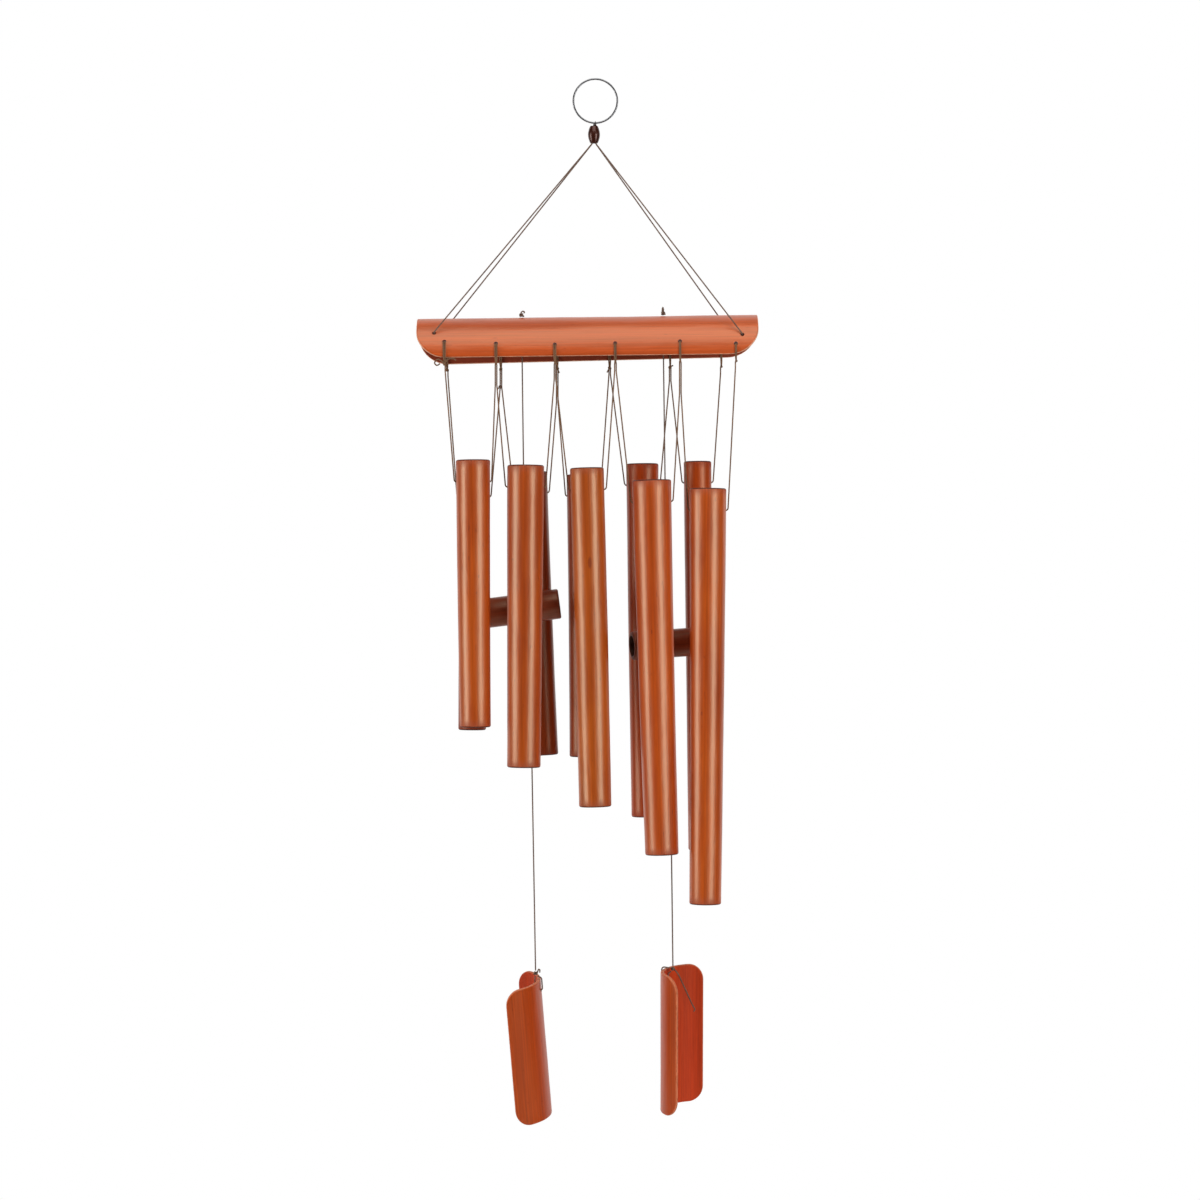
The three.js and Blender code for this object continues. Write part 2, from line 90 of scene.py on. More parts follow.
# For each row: its side, its ties (x, the hole's angle in degrees from the bar's spine, the height where the
# two strands part) and its tubes ((x, z) of the top and of the bottom, their diameters).
ROWS = {
    "front": (
        -1,
        [(-112.3, 68.5, -220), (-74, 72.7, -230.6), (-30.3, 75.1, -226.2), (14.5, 74.5, -220.3),
         (62.6, 72.7, -236.6), (104, 76.9, -218)],
        [
            ((-90.8, -286.1), (-89, -484.3), (25.3, 22.7)),
            ((-51.6, -290), (-52.9, -514.1), (27.4, 24.9)),
            ((-6.2, -292), (0.1, -543.2), (25.4, 24.2)),
            ((41.6, -301), (49.2, -578.8), (28.9, 24.9)),
            ((83.7, -307.2), (81.6, -615.5), (27.2, 23.4)),
        ],
    ),
    "back": (
        1,
        [(-112.9, 72, -220), (-72.1, 72, -228.4), (-29.4, 74, -239.8), (10.4, 73, -219),
         (56.3, 74, -223.8), (95.1, 72, -218)],
        [
            ((-92, -295.4), (-93.4, -488.6), (23.5, 21)),
            ((-49.2, -292.8), (-39.4, -507.6), (24.5, 22)),
            ((-9.6, -294.8), (-8.3, -508.9), (24, 22)),
            ((35.5, -286.5), (38.2, -554.5), (24.5, 21.7)),
            ((77.4, -284.7), (80.3, -579.6), (21.1, 19.7)),
        ],
    ),
}
# The two strings with a striker and a sail. bore and knot are (x, z), and offset is how far the striker's
# middle is from its bore. rim, outer and inner are (x, z) in the sail's frame: the middle of its top edge,
# and the way of its loop outside and inside. tail is the knot's loose end, from the knot's middle.
STRINGS = {
    "left": Sizes(
        bar_x=-55.3,
        bore=(-51.1, -396), offset=3.5, diameter=22.2, tilt=7.5 * DEGREE, turn=0,
        knot=(-44.8, -669.9), face=-8.9 * DEGREE, lean=(10.9 * DEGREE, -4.5 * DEGREE),
        rim=(1.6, -5.2), outer=[(1.4, -2.15), (4.25, -3.7)], inner=[(-0.5, -2.5), (-1.05, -4.6)],
        tail=[(1.5, -0.3, 1.2), (2.2, -0.5, 2.9), (3.2, -0.6, 2.4), (3, -0.5, 0.5)],
    ),
    "right": Sizes(
        bar_x=50.7,
        bore=(54.5, -422.6), offset=0, diameter=21.3, tilt=3.7 * DEGREE, turn=13 * DEGREE,
        knot=(58.2, -666.6), face=157.8 * DEGREE, lean=(6.5 * DEGREE, 0),
        rim=(6.35, -0.5), outer=[(2.5, 0.5), (9, 1)], inner=[(1.7, -1.9), (3.7, -4)],
        tail=[(1.6, -0.6, -0.9), (4.3, -1.4, -4.6), (6.8, -2, -9.9), (9.6, -2.2, -15.9),
              (11.8, -2.2, -20.7), (14.3, -1.8, -26.4), (16.3, -1.4, -29.9), (15.5, -1, -31.9)],
    ),
}
TOP_KNOT_RADIUS = 1.8
STRIKER_LENGTH = 56
STRIKER_WALL = 3
STRIKER_KNOT_RADIUS = 1.7
SAIL = Sizes(radius=30, wall=2.8, length=106, half_arc=73.4 * DEGREE, corner=12)
SAIL_HOLE_DROP = 8.4
SAIL_KNOT_RADIUS = 1.7

# Tube cords that are knotted to the next one where the two part.
PARTING_KNOTS = [("back", 1)]
PARTING_KNOT_RADIUS = 1.5

# -------- how fine the looks are

CORD_LAY = 4.0  # length in which the cord's three strands go once round
CORD_STEP = 0.42
CORD_BEND_STEP = 15 * DEGREE
STRANDS = 3
STRAND_SECTION = (0.74, 1.0, 1.0)  # share of the radius in a strand's groove and on its crest
STRAND_SPACING = 1.15  # between two strands that leave one tie, as the photo shows them; the CAD has 1.6
LOOP_CORD_RADIUS = 0.3
LOOP_KNOT_RADIUS = 1.2
LOOP_KNOT_SQUASH = (1.2, 1.2, 0.75)
LOOP_TINT = (0.16, 0.12, 0.11)
LOOP_STEPS, KNOT_STEPS = 30, 44
WELD_PLACE = 118 * DEGREE  # round the ring from its top
WELD_SWELL, WELD_WIDTH = 0.10, 0.7  # how much thicker the wire is there, as a share, and over what length
WELD_GROOVE, GROOVE_WIDTH = 0.05, 0.16  # the same of the line in its middle
BEAD_RIM = 0.25
BEAD_BULGE = 0.9  # how soon it swells from its ends: less is sooner
BEAD_UNEVEN = 0.008  # share of its radius
TIE_SPREAD = 0.6  # half the distance between the two cords of a tie
# That distance in the ties that are drawn tighter.
TIGHT_TIES = {("front", 4): 0.45, ("front", 5): 0.3, ("front", 6): 0.2, ("back", 6): 0.25, ("back", 5): 0.3}
RIM_ROUND = 0.75  # radius of the cut edges of the bar and the sails
TUBE_RIM_ROUND = 1.4  # the same of a tube's outer edges
TUBE_LIP = 0.45  # the bevel of its inner edges
RIM_STEPS = 3
TUBE_RIM_STEPS = 4
TUBE_SIDES = 72
TUBE_BOW, TUBE_OVAL = 0.35, 0.11  # how far it bends, and how far it is out of round
TUBE_WAVES, SHELL_WAVES = (0.16, 0.05), (0.22, 0.07)  # heights of the broad and the fine unevenness
BAMBOO_ROW = 4.0  # length between two rows of points
SHELL_COLUMN = 1.6  # width between two columns of points on the bar and the sails
SHELL_CORNER_STEPS = 9
HOLE_SIDES = 28
SHARP_ANGLE = 50 * DEGREE
BAR_EDGE_RISE = (-1.6, 1.6)  # how much higher than the front edge the bar's back edge is at its two ends

# -------- camera

CAMERA_PLACE = (3.5, -2625, -390)
CAMERA_LENS = 105


def make_camera():
    camera = bpy.data.objects.new("camera", bpy.data.cameras.new("camera"))
    camera.data.sensor_width = 36
    camera.data.lens = CAMERA_LENS
    camera.location = Vector(CAMERA_PLACE) * MM
    camera.rotation_euler = (90 * DEGREE, 0, 0)
    camera.data.clip_end = 50
    bpy.context.scene.collection.objects.link(camera)
    bpy.context.scene.camera = camera


make_camera()

# -------- meshes


def smooth(mesh):
    mesh.shade_smooth()
    mesh.set_sharp_from_angle(angle=SHARP_ANGLE)


def make_object(name, verts, faces, materials, slots=None, place=Matrix()):
    """A piece from points in millimetres in its own frame, put at place, which is in millimetres too."""
    mesh = bpy.data.meshes.new(name)
    mesh.from_pydata([v * MM for v in verts], [], faces)
    for material in materials:
        mesh.materials.append(material)
    if slots:
        mesh.polygons.foreach_set("material_index", slots)
    smooth(mesh)
    piece = bpy.data.objects.new(name, mesh)
    bpy.context.scene.collection.objects.link(piece)
    piece.matrix_world = Matrix.Translation(place.to_translation() * MM) @ place.to_3x3().to_4x4()
    return piece


def stands_for(piece, body, node):
    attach(piece, body)
    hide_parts(node)


def grid_faces(rows, columns, start=0, closed=False, flip=False):
    """Quads between rows of points laid out one row after another, closed round each row or open."""
    faces = []
    for i in range(rows - 1):
        for j in range(columns if closed else columns - 1):
            k = (j + 1) % columns
            a, b = start + i * columns, start + (i + 1) * columns
            face = (a + j, a + k, b + k, b + j)
            faces.append(face[::-1] if flip else face)
    return faces


def wrapped_faces(rows, columns):
    """Quads over rows that are each closed, with the last row joined to the first."""
    last = (rows - 1) * columns
    seam = [(last + k, last + (k + 1) % columns, (k + 1) % columns, k) for k in range(columns)]
    return grid_faces(rows, columns, closed=True) + seam


def arc(whole, steps):
    """Angles from 0 to whole in equal steps."""
    return [whole * k / steps for k in range(steps + 1)]


def circle(sides):
    """The angles of points evenly round a circle."""
    return arc(2 * pi, sides)[:-1]


def drill(piece, pins):
    """Cuts round holes through a piece. pins are (centre, direction, radius, length) in its own frame."""
    verts, faces = [], []
    sides = HOLE_SIDES
    for centre, direction, radius, length in pins:
        along = Vector(direction).normalized()
        across = along.orthogonal().normalized()
        third = along.cross(across)
        start = len(verts)
        for end in (-0.5, 0.5):
            for angle in circle(sides):
                spoke = across * cos(angle) + third * sin(angle)
                verts.append(Vector(centre) + along * (end * length) + spoke * radius)
        faces += grid_faces(2, sides, start, closed=True)
        faces.append(tuple(range(start, start + sides))[::-1])
        faces.append(tuple(range(start + sides, start + 2 * sides)))
    inside = len(piece.data.materials) - 1
    cutter = make_object("cutter", verts, faces, piece.data.materials, [inside] * len(faces))
    cutter.matrix_world = piece.matrix_world
    boolean = piece.modifiers.new("holes", "BOOLEAN")
    boolean.object = cutter
    boolean.solver = "EXACT"
    boolean.material_mode = "INDEX"
    bpy.context.view_layer.update()
    cut = bpy.data.meshes.new_from_object(piece.evaluated_get(bpy.context.evaluated_depsgraph_get()))
    piece.modifiers.clear()
    old, name = piece.data, piece.data.name
    piece.data = cut
    bpy.data.meshes.remove(old)
    cut.name = name
    smooth(cut)
    bpy.data.objects.remove(cutter)


# -------- materials


def new_material(name):
    material = bpy.data.materials.new(name)
    material.use_nodes = True
    return material, material.node_tree


def fill(tree, node, inputs):
    """Gives each named input of a node its value: another node's output, a number or a colour."""
    for name, value in inputs.items():
        socket = node.inputs[name]
        if isinstance(value, bpy.types.NodeSocket):
            tree.links.new(value, socket)
        elif socket.type == "RGBA":
            socket.default_value = (*value, 1)
        else:
            socket.default_value = value


def add(tree, kind, inputs):
    """A new node of that kind, with its inputs filled."""
    node = tree.nodes.new("ShaderNode" + kind)
    fill(tree, node, inputs)
    return node


def dress(tree, inputs):
    """Gives a material's own shader its inputs."""
    fill(tree, tree.nodes["Principled BSDF"], inputs)


def object_place(tree):
    """The shaded point in its object's own coordinates, in metres."""
    return add(tree, "TexCoord", {}).outputs["Object"]


def surface_noise(tree, scale, detail=4.0, roughness=0.55, seed=0.0, distortion=0.0):
    """Noise over the object's own coordinates, stretched by scale (x, y, z) per metre."""
    shift = (seed, 0.37 * seed, 1.7 * seed)
    mapping = add(tree, "Mapping", {"Vector": object_place(tree), "Scale": scale, "Location": shift})
    texture = add(tree, "TexNoise", {"Vector": mapping.outputs["Vector"], "Scale": 1.0, "Detail": detail,
                                     "Roughness": roughness, "Distortion": distortion})
    return texture.outputs["Fac"]


def ramp(tree, value, low, high, low_at=0.35, high_at=0.65):
    """Runs from one colour to another as value goes from low_at to high_at."""
    node = add(tree, "ValToRGB", {"Fac": value})
    for stop, at, colour in zip(node.color_ramp.elements, (low_at, high_at), (low, high)):
        stop.position = at
        stop.color = (*colour, 1)
    return node.outputs["Color"]


def mixed(tree, share, one, other, blend="MIX"):
    node = tree.nodes.new("ShaderNodeMix")
    node.data_type = "RGBA"
    node.blend_type = blend
    fill(tree, node, {0: share, 6: one, 7: other})
    return node.outputs[2]


def times(tree, base, tint, share=1.0):
    """A colour multiplied by a tint, wholly or by a share."""
    return mixed(tree, share, base, tint, "MULTIPLY")


def spread_of(tree, value, low, high):
    """A number that runs from low to high as value goes from 0 to 1."""
    return add(tree, "MapRange", {"Value": value, "To Min": low, "To Max": high}).outputs["Result"]


def worked_out(tree, operation, *values):
    """The number that one Math node makes of the values."""
    node = tree.nodes.new("ShaderNodeMath")
    node.operation = operation
    fill(tree, node, dict(enumerate(values)))
    return node.outputs["Value"]


def bumped(tree, *layers):
    """A normal with one bump node for each (height, depth in metres) layer."""
    normal = None
    for height, depth in layers:
        below = {"Normal": normal} if normal else {}
        node = add(tree, "Bump", {"Strength": 1.0, "Distance": depth, "Height": height, **below})
        normal = node.outputs["Normal"]
    return normal


def shade(colour, share):
    return tuple(c * share for c in colour)


def tinted(colour, tint):
    return tuple(c * t for c, t in zip(colour, tint))


def scarred(tree, base, centre, size):
    """Darkens a lens-shaped scar, centred on a point of the surface. Both are in millimetres."""
    mapping = tree.nodes.new("ShaderNodeMapping")
    mapping.vector_type = "TEXTURE"
    fill(tree, mapping, {"Vector": object_place(tree), "Location": Vector(centre) * MM,
                         "Scale": Vector(size) * MM})
    reach = tree.nodes.new("ShaderNodeVectorMath")
    reach.operation = "LENGTH"
    fill(tree, reach, {0: mapping.outputs["Vector"]})
    return times(tree, base, ramp(tree, reach.outputs["Value"], SCAR_TINT, (1, 1, 1), SCAR_CORE, 1.0))


def end_wear(tree, ends):
    """Runs from 0 to 1 over the last END_WEAR millimetres of a tube. ends are its lowest and highest Z."""
    height = add(tree, "SeparateXYZ", {"Vector": object_place(tree)}).outputs["Z"]
    nearness = []
    for at, inward in zip(ends, (1, -1)):
        near = add(tree, "MapRange", {"Value": height, "From Min": (at + inward * END_WEAR) * MM,
                                      "From Max": (at + inward * END_WEAR * END_WORN) * MM})
        near.interpolation_type = "SMOOTHSTEP"
        nearness.append(near.outputs["Result"])
    return worked_out(tree, "MAXIMUM", *nearness)


def bamboo_skin(name, colour, seed, gloss, scars=(), ends=None, patchy=1.0):
    """Stained and lacquered bamboo: long fine fibres under a satin coat, with soft clouds in the stain.

    gloss is how much it shines and patchy how strong the clouds are. scars are (centre, half sizes), and ends
    are the heights of a tube's two worn ends.
    """
    material, tree = new_material(name)
    fibres = surface_noise(tree, (900, 900, 9), 5, 0.62, seed)
    threads = surface_noise(tree, (2600, 2600, 30), 2, 0.5, seed + 3)
    clouds = surface_noise(tree, (70, 70, 14), 3, 0.5, seed + 7, 0.4)
    specks = surface_noise(tree, (420, 420, 110), 2, 0.5, seed + 11)
    base = ramp(tree, fibres, shade(colour, 0.78), shade(colour, 1.18), 0.3, 0.7)
    base = times(tree, base, ramp(tree, clouds, (0.82, 0.68, 0.58), (1.08, 1.16, 1.20), 0.32, 0.68), patchy)
    base = times(tree, base, ramp(tree, specks, (0.55, 0.42, 0.38), (1.0, 1.0, 1.0), 0.24, 0.33), 0.6)
    for centre, size in scars:
        base = scarred(tree, base, centre, size)
    rough = spread_of(tree, fibres, 0.31, 0.43)
    if ends:
        worn = end_wear(tree, ends)
        base = mixed(tree, worn, base, times(tree, base, END_TINT))
        rough = worked_out(tree, "MULTIPLY_ADD", worn, END_DULLING, rough)
    normal = bumped(tree, (fibres, 0.00006), (threads, 0.00003), (specks, 0.00006), (clouds, 0.0005))
    dress(tree, {
        "Base Color": base, "Roughness": rough, "IOR": 1.54, "Normal": normal, "Specular IOR Level": gloss,
        "Specular Tint": (1.0, 0.80, 0.52), "Coat Weight": 0.12 * gloss, "Coat Roughness": 0.24,
    })
    return material


def bamboo_cut(name, colour, seed):
    """A cut edge: paler wood with the dark dots and dashes of the fibre bundles. On the bar its colour also
    holds painted light from below.
    """
    material, tree = new_material(name)
    grain = surface_noise(tree, (700, 700, 160), 4, 0.6, seed)
    dots = surface_noise(tree, (2400, 2400, 300), 2, 0.5, seed + 5)
    base = ramp(tree, grain, shade(colour, 0.72), shade(colour, 1.12), 0.3, 0.7)
    dotted = ramp(tree, dots, (0.62, 0.48, 0.40), (1.0, 1.0, 1.0), 0.38, 0.5)
    dress(tree, {
        "Base Color": times(tree, base, dotted, 0.7), "Roughness": 0.6, "Specular IOR Level": 0.3,
        "Specular Tint": (1.0, 0.74, 0.60), "Normal": bumped(tree, (grain, 0.00005), (dots, 0.00004)),
    })
    return material


def bamboo_inside(name, colour, seed):
    """The inner wall: duller, with broad soft streaks and a papery bump."""
    material, tree = new_material(name)
    streaks = surface_noise(tree, (260, 260, 7), 4, 0.55, seed)
    fibres = surface_noise(tree, (1300, 1300, 26), 3, 0.6, seed + 2)
    base = ramp(tree, streaks, shade(colour, 0.86), shade(colour, 1.12), 0.3, 0.7)
    lines = ramp(tree, fibres, (0.82, 0.74, 0.70), (1.06, 1.08, 1.1))
    dress(tree, {
        "Base Color": times(tree, base, lines, 0.8), "Roughness": spread_of(tree, streaks, 0.5, 0.66),
        "Specular IOR Level": 0.25, "Specular Tint": (1.0, 0.8, 0.6), "Coat Weight": 0.06,
        "Coat Roughness": 0.3, "Normal": bumped(tree, (streaks, 0.0001), (fibres, 0.00008)),
    })
    return material


def bamboo(name, colours, seed, **finish):
    """Bamboo's three materials. The finish is what bamboo_skin takes besides its colour."""
    skin, cut, inside = colours
    return [
        bamboo_skin(f"{name}_skin", skin, seed, **finish),
        bamboo_cut(f"{name}_cut", cut, seed),
        bamboo_inside(f"{name}_inside", inside, seed),
    ]


def make_cord_material(name, tint):
    """Waxed twine: matt taupe fibres, times a tint."""
    material, tree = new_material(name)
    fibres = surface_noise(tree, (5200, 5200, 2600), 3, 0.65)
    patches = surface_noise(tree, (260, 260, 90), 2, 0.5, 4)
    base = ramp(tree, fibres, tinted(TWINE_LOW, tint), tinted(TWINE_HIGH, tint), 0.3, 0.7)
    patch = ramp(tree, patches, (0.8, 0.8, 0.82), (1.12, 1.1, 1.05))
    dress(tree, {
        "Base Color": times(tree, base, patch), "Roughness": 0.78, "Specular IOR Level": 0.3,
        "Normal": bumped(tree, (fibres, 0.00008)),
    })
    return material


def make_chrome_material():
    """Plated wire, grey and evenly dulled by handling, with faint drawing marks."""
    material, tree = new_material("chrome")
    marks = surface_noise(tree, (900, 900, 900), 4, 0.6)
    dull = surface_noise(tree, (160, 160, 160), 3, 0.6, 9)
    dress(tree, {
        "Base Color": ramp(tree, dull, (0.19, 0.19, 0.195), (0.25, 0.25, 0.255), 0.3, 0.6),
        "Roughness": spread_of(tree, marks, 0.22, 0.30), "Metallic": 1.0,
    })
    return material


def make_bead_material():
    """Dark turned hardwood under varnish, with rings of grain."""
    material, tree = new_material("bead_wood")
    grain = surface_noise(tree, (1500, 1500, 120), 5, 0.6, 2, 0.5)
    rings = surface_noise(tree, (120, 120, 1600), 3, 0.5, 5)
    base = ramp(tree, grain, (0.022, 0.004, 0.002), (0.048, 0.009, 0.004), 0.2, 0.8)
    ring = ramp(tree, rings, (0.7, 0.68, 0.66), (1.15, 1.12, 1.1))
    dress(tree, {
        "Base Color": times(tree, base, ring, 0.8), "Roughness": spread_of(tree, grain, 0.26, 0.36),
        "Specular Tint": (1.0, 0.55, 0.45), "Coat Weight": 0.3, "Coat Roughness": 0.16,
        "Normal": bumped(tree, (grain, 0.00001), (rings, 0.00001)),
    })
    return material


TWINE_LOW, TWINE_HIGH = (0.088, 0.052, 0.037), (0.250, 0.160, 0.116)
cord_material = make_cord_material("twine", (1, 1, 1))
tan_cord_material = make_cord_material("tan_twine", (1.2, 1.0, 0.72))

# The colours of each bamboo's skin, cut edge and inner wall.
TUBE_BAMBOO = (0.44, 0.060, 0.0012), (0.115, 0.023, 0.012), (0.150, 0.028, 0.009)
# The bar's cut edge is pale wood drawn paler still: painted light, for the light its rounded edge catches and
# the bounce from below that the dark room lacks.
BAR_BAMBOO = (0.53, 0.074, 0.009), (0.86, 0.42, 0.25), (0.250, 0.040, 0.016)
SAIL_BAMBOO = (0.42, 0.050, 0.003), (0.66, 0.185, 0.080), (0.50, 0.042, 0.006)
STRIKER_BAMBOO = (0.280, 0.052, 0.018), (0.27, 0.085, 0.045), (0.050, 0.014, 0.008)
BAR_GLOSS = 0.92
SAIL_GLOSS = 0.36
STRIKER_GLOSS = 0.5
ROW_GLOSS = {"front": 1.0, "back": 0.6}
HALF_SHELL_PATCHES = 0.45
END_WEAR = 7.0  # how far a tube's end is worn
END_WORN = 0.15  # the share of that which is fully worn
END_TINT = (0.86, 0.66, 0.9)
END_DULLING = 0.18  # added to the roughness there
SCAR_TINT = (0.62, 0.46, 0.50)
SCAR_CORE = 0.62  # the share of a scar that has all of that tint
# Scars of branches and knocks: each tube's centres and half sizes, from its cross hole.
TUBE_SCARS = {
    ("front", 5): [((5.1, -12.4, 8), (0.6, 3, 2.2)), ((-4, -12.5, -150), (0.7, 3, 2.0))],
    ("front", 2): [((-8.9, -10, -53.5), (1.1, 3, 1.0)), ((5, -11.5, -118), (0.6, 3, 1.8))],
    ("front", 1): [((4, -11.5, -70), (0.6, 3, 1.6))],
    ("front", 3): [((0.5, -12.5, -54), (1.7, 3, 5.0)), ((6, -10.5, -140), (0.6, 3, 1.5))],
    ("front", 4): [((-3, -13, -96), (0.6, 3, 2.0))],
    ("back", 3): [((2, 11, -90), (1.2, 3, 3.4))],
    ("back", 5): [((-2, 9.5, -150), (1.0, 3, 3.0))],
}
# Each tube's colours are multiplied by these. The front row's differ a little in tone. The back row's are
# much darker: painted shade, for the shadow that the front tubes cast on them.
TUBE_TONES_AND_BACK_SHADE = {
    "front": [(1.0, 1.06, 1.2), (0.90, 0.92, 0.9), (0.93, 1.16, 1.25), (1.02, 1.0, 0.9), (0.98, 0.98, 0.95)],
    "back": [(0.62, 0.50, 0.9), (0.52, 0.42, 0.9), (0.58, 0.46, 0.9), (0.92, 0.72, 1.0), (0.90, 0.80, 1.0)],
}

# -------- cords


def rounded_route(corners):
    """The line through the corners with each bend rounded to an arc."""
    route = [corners[0].copy()]
    for i in range(1, len(corners) - 1):
        corner = corners[i]
        back = (corners[i - 1] - corner).normalized()
        ahead = (corners[i + 1] - corner).normalized()
        turn = pi - back.angle(ahead)
        if turn < 1 * DEGREE:  # as good as straight
            route.append(corner.copy())
            continue
        centre = corner + (back + ahead).normalized() * (CORD_BEND / cos(turn / 2))
        reach = CORD_BEND * tan(turn / 2)
        first, last = corner + back * reach - centre, corner + ahead * reach - centre
        steps = ceil(turn / CORD_BEND_STEP)
        for k in range(steps + 1):
            along = turn * k / steps
            spoke = (first * sin(turn - along) + last * sin(along)) / sin(turn)
            route.append(centre + spoke)
    route.append(corners[-1].copy())
    return route


def curved_route(points, per_span):
    """A smooth line through all the points, a Catmull-Rom spline."""
    ends = [2 * points[0] - points[1], *points, 2 * points[-1] - points[-2]]
    route = []
    for i in range(1, len(ends) - 2):
        a, b, c, d = ends[i - 1:i + 3]
        for k in range(per_span):
            t = k / per_span
            route.append(0.5 * (2 * b + (c - a) * t + (2 * a - 5 * b + 4 * c - d) * t * t
                                + (3 * b - a - 3 * c + d) * t ** 3))
    route.append(points[-1].copy())
    return route


def in_steps(route):
    """The same line with points no further apart than CORD_STEP."""
    fine = [route[0]]
    for a, b in zip(route, route[1:]):
        if (b - a).length < 1e-6:
            continue
        count = max(1, ceil((b - a).length / CORD_STEP))
        fine += [a.lerp(b, (k + 1) / count) for k in range(count)]
    return fine


def twine(routes, radius=CORD_RADIUS):
    """Points and faces of laid three-strand cord along each of the routes, capped at both ends."""
    verts, faces = [], []
    sides = STRANDS * len(STRAND_SECTION)
    for route in routes:
        start = len(verts)
        tangent = (route[1] - route[0]).normalized()
        across = tangent.orthogonal().normalized()
        travelled = 0
        for i, here in enumerate(route):
            before, after = route[max(i - 1, 0)], route[min(i + 1, len(route) - 1)]
            heading = (after - before).normalized()
            across = tangent.rotation_difference(heading) @ across
            tangent = heading
            third = tangent.cross(across)
            travelled += (here - before).length
            for k in range(sides):
                angle = 2 * pi * (k / sides + travelled / CORD_LAY)
                reach = radius * STRAND_SECTION[k % len(STRAND_SECTION)]
                verts.append(here + (across * cos(angle) + third * sin(angle)) * reach)
        faces += grid_faces(len(route), sides, start, closed=True)
        last = start + (len(route) - 1) * sides
        faces.append(tuple(range(start, start + sides))[::-1])
        faces.append(tuple(range(last, last + sides)))
    return verts, faces


def twine_object(name, routes, material=cord_material):
    verts, faces = twine(routes)
    return make_object(name, verts, faces, [material])


def knot_route(centre, radius, turn=0.0):
    """The line of a cord drawn tight into a round knot whose outside has about that radius.

    It is a trefoil, which reaches three times its size from the centre.
    """
    turned = Matrix.Rotation(turn, 3, "Z").to_quaternion()
    size = (radius - CORD_RADIUS * 0.8) / 3
    route = []
    for t in arc(2 * pi, KNOT_STEPS):
        x = sin(t) + 2 * sin(2 * t)
        y = cos(t) - 2 * cos(2 * t)
        z = -2.1 * sin(3 * t)
        route.append(centre + turned @ (Vector((x, y, z)) * size))
    return route


def loose_end(centre, points, per_span=5):
    """The line of a cord's end that comes out of a knot, by points from the knot's centre."""
    return in_steps(curved_route([centre.copy()] + [centre + Vector(p) for p in points], per_span))


def knot_piece(name, centre, radius, body, node, ends, turn=0.0):
    """A knot with its loose ends, each given by points from its centre.

    node is None for a knot that the CAD model doesn't have.
    """
    routes = [knot_route(centre, radius, turn)] + [loose_end(centre, points) for points in ends]
    piece = twine_object(name, routes)
    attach(piece, body)
    if node:
        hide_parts(node)
    return piece


def cord_piece(name, route, body, node, material=cord_material):
    """One cord along a route, standing for its CAD node."""
    path = in_steps(route)
    piece = twine_object(name, [path], material)
    stands_for(piece, body, node)


# -------- places on the top bar


def on_bar(x, side, angle, distance):
    """A point in the bar's frame, whose origin is on the spine at mid length. angle is from the spine."""
    across, up = side * distance * sin(angle), distance * cos(angle) - BAR.radius
    return Vector((x - BAR.x, across, up))


bar_frame = Matrix.Translation((BAR.x, 0, BAR.z)) @ Matrix.Rotation(-BAR.tilt, 4, "Y")
row_distance = BAR.radius + CORD_RADIUS + GAP


def tie_knot(x, side):
    return Vector((x - BAR.x, side * row_distance, -BAR.radius - TIE_KNOT_DROP))


def tube_place(top, bottom, side):
    """A tube's length and its frame: origin in its cross hole, X along the hole, Z up the tube."""
    lean = atan2(bottom[0] - top[0], top[1] - bottom[1])
    length = hypot(bottom[0] - top[0], top[1] - bottom[1])
    x = top[0] + TUBE_HOLE_DROP * sin(lean)
    z = top[1] - TUBE_HOLE_DROP * cos(lean)
    return length, Matrix.Translation((x, side * row_distance, z)) @ Matrix.Rotation(-lean, 4, "Y")


# -------- the cords


def make_hanger(name, x, side, angle):
    """From inside the bead down to the bar, in through its hole and to a stopper knot under it."""
    away = copysign(1, x)
    bead_x = BEAD.x + away * HANGER_SPREAD[0]
    bead_y = side * HANGER_SPREAD[1]
    bead_bottom = BEAD.top - BEAD.height
    knot = bar_frame @ on_bar(x, side, angle, BAR.radius - BAR.wall - HANGER_KNOT_RADIUS - GAP)
    corners = [
        Vector((bead_x, bead_y, BEAD.top - 1)),
        Vector((bead_x, bead_y, bead_bottom - 0.5)),
        bar_frame @ on_bar(x, side, angle, BAR.radius + HANGER_STANDOFF),
        knot,
    ]
    end = [(away * 1.5, 0, -0.8), (away * 4, side * -0.6, -2.2), (away * 6, side * -1, -2)]
    stopper = knot_piece(f"hanger_knot_{name}", knot, HANGER_KNOT_RADIUS, "bar", None, ends=[end], turn=x)
    cord_piece(f"hanger_{name}", rounded_route(corners), "bar", f"hanger_cord_{name}")


def make_tube_cord(row, i, side, ties, tube):
    """From one tie down, through the tube's cross hole, and up to the next tie."""
    top, bottom, diameters = tube
    length, place = tube_place(top, bottom, side)
    hole_radius = (diameters[0] + (diameters[1] - diameters[0]) * TUBE_HOLE_DROP / length) / 2
    reach = hole_radius + STANDOFF

    def strand(tie, offset):
        knot = bar_frame @ tie_knot(tie[0], side)
        start = Vector((knot.x + offset, knot.y, knot.z - STRAND_START))
        return [start, Vector((start.x, start.y, tie[2]))]

    corners = [
        *strand(ties[i], STRAND_SPACING / 2),
        place @ Vector((-reach, 0, 0)),
        place @ Vector((reach, 0, 0)),
        *strand(ties[i + 1], -STRAND_SPACING / 2)[::-1],
    ]
    body = f"{row}_tube_cord_{i + 1}"
    knots = []
    if (row, i + 1) in PARTING_KNOTS:
        middle = Vector((ties[i + 1][0], side * row_distance, ties[i + 1][2]))
        knots = [knot_piece(f"knot_parting_{row}_{i + 1}", middle, PARTING_KNOT_RADIUS, body, None,
                            ends=[[(-1.4, -0.6, -0.8), (-2.4, -0.8, -2.0)]])]
    cord_piece(f"twine_{row}_{i + 1}", rounded_route(corners), body, body,
               material=tan_cord_material)


